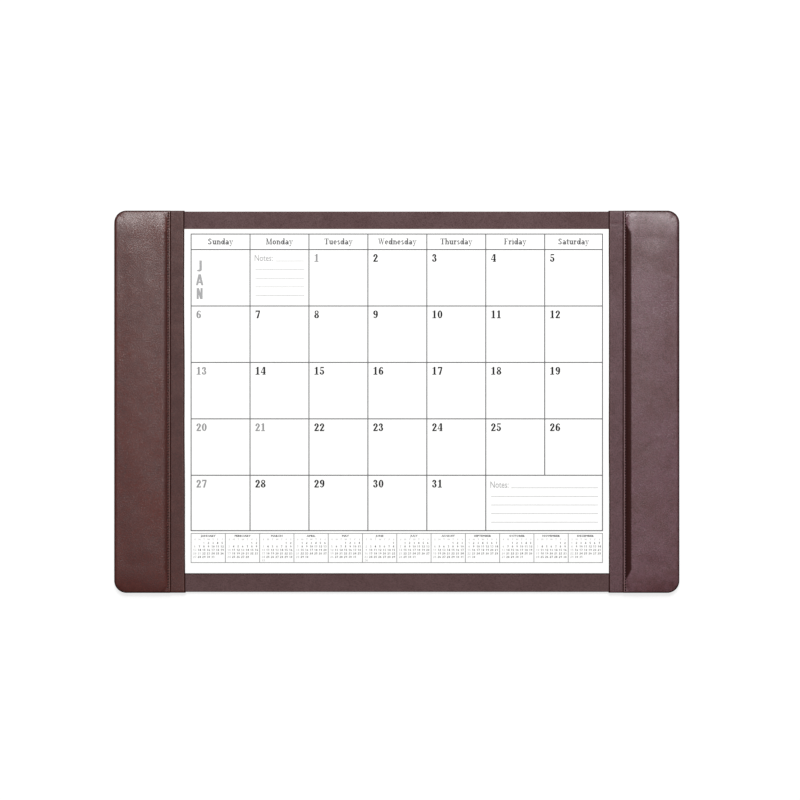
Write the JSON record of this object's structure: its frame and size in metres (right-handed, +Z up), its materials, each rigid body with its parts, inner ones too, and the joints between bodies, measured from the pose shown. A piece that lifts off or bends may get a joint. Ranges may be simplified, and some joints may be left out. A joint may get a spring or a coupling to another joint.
{
  "type": "desk pad calendar",
  "caption": "Leather-covered desk pad with padded side rails that hold a monthly calendar under their flat inner strips.",
  "frame": {"origin": "Middle of the pad's underside, on the surface that the felt rests on.", "axes": "+X to the reader's right along the long side, +Y towards the calendar's top edge, +Z up out of the sheet."},
  "size_m": [0.6478, 0.4382, 0.0135],
  "materials": {
    "rail_leather": "satin dark brown, fine grain",
    "base_leather": "matt plum brown, fine grain",
    "backing_felt": "black needled felt",
    "board": "plain grey board",
    "foam": "soft cream foam",
    "paper": "matt white printed paper",
    "gum": "padding gum",
    "ink": "matt grey ink"
  },
  "bodies": {
    "root": {"felt_backing": "backing_felt", "base_board": "board", "base_leather": "base_leather", "calendar_backing_board": "board", "calendar_sheets": "paper", "calendar_gum_edge": "gum", "calendar_grid_print": "ink", "month_strip_print": "ink", "left_rail_spacer": "board", "left_rail_top_spacer": "board", "left_rail_bottom_spacer": "board", "left_rail_board": "board", "left_rail_padding": "foam", "left_rail_strip": "rail_leather", "left_rail_cover": "rail_leather", "right_rail_spacer": "board", "right_rail_top_spacer": "board", "right_rail_bottom_spacer": "board", "right_rail_board": "board", "right_rail_padding": "foam", "right_rail_strip": "rail_leather", "right_rail_cover": "rail_leather"}
  },
  "joints": []
}
